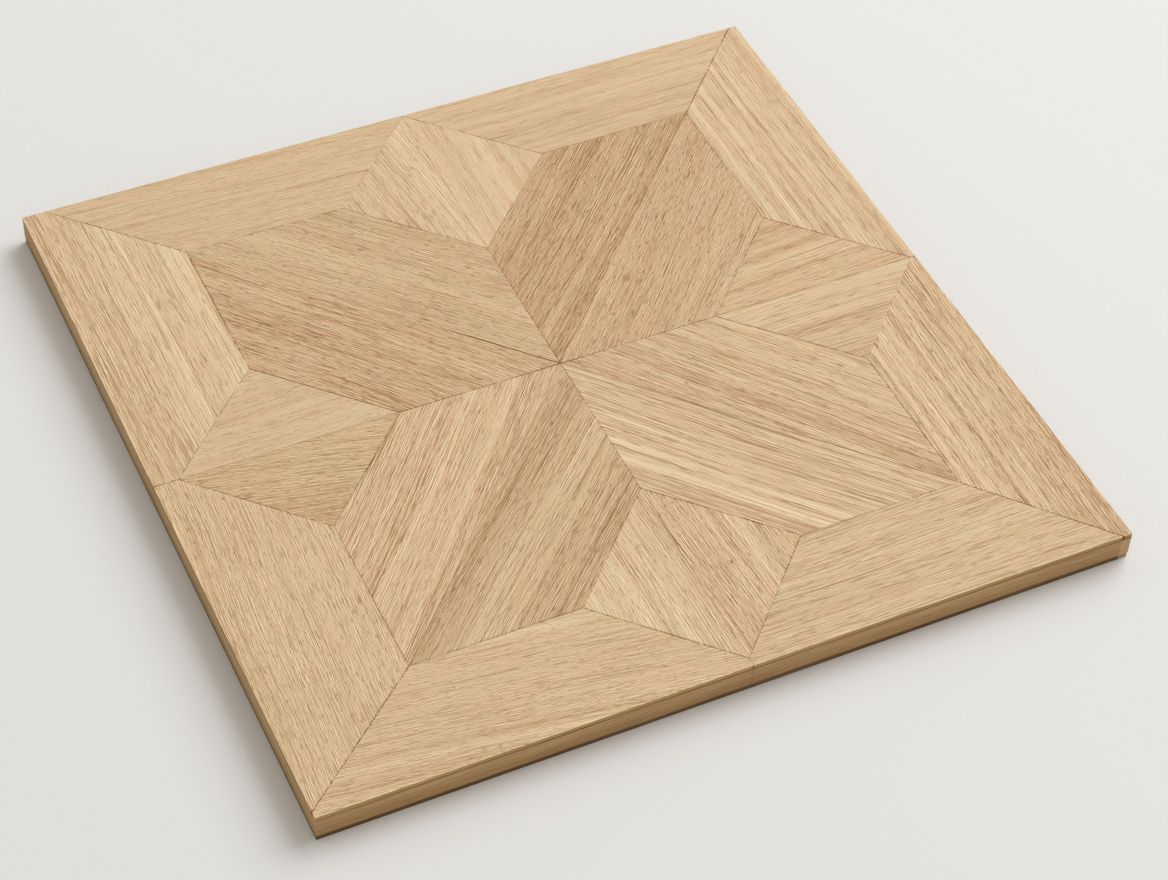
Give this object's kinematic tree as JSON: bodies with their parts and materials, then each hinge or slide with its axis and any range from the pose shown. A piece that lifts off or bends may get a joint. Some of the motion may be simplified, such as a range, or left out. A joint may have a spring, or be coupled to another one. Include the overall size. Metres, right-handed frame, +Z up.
{
  "type": "geometric parquet panel",
  "caption": "Square engineered oak parquet panel with a mitred frame round a star of diamonds and split petals, on core and backing boards.",
  "frame": {"origin": "centre of the panel's underside", "axes": "+Z up out of the face side, +Y from the front edge to the back edge, +X to the right"},
  "size_m": [0.6, 0.6, 0.024],
  "materials": {
    "frame_oak": "pale matt oiled oak, fine straight grain",
    "petal_oak": "matt oiled oak, a shade browner, streaked along the diagonal",
    "diamond_oak": "pale matt oiled oak with cream streaks",
    "core": "sawn oak edge, long grain",
    "backing": "raw darker wood"
  },
  "bodies": {
    "root": {"backing_front_left": "backing", "backing_front_right": "backing", "backing_back_right": "backing", "backing_back_left": "backing", "core_front_left": "core", "core_front_right": "core", "core_back_right": "core", "core_back_left": "core", "petal_front_left_front_half": "petal_oak", "petal_front_left_left_half": "petal_oak", "petal_front_right_front_half": "petal_oak", "petal_front_right_right_half": "petal_oak", "petal_back_right_back_half": "petal_oak", "petal_back_right_right_half": "petal_oak", "petal_back_left_back_half": "petal_oak", "petal_back_left_left_half": "petal_oak", "diamond_front_left_half": "diamond_oak", "diamond_front_right_half": "diamond_oak", "diamond_right_front_half": "diamond_oak", "diamond_right_back_half": "diamond_oak", "diamond_back_right_half": "diamond_oak", "diamond_back_left_half": "diamond_oak", "diamond_left_back_half": "diamond_oak", "diamond_left_front_half": "diamond_oak", "frame_front_left": "frame_oak", "frame_front_right": "frame_oak", "frame_right_front": "frame_oak", "frame_right_back": "frame_oak", "frame_back_right": "frame_oak", "frame_back_left": "frame_oak", "frame_left_back": "frame_oak", "frame_left_front": "frame_oak"}
  },
  "joints": []
}
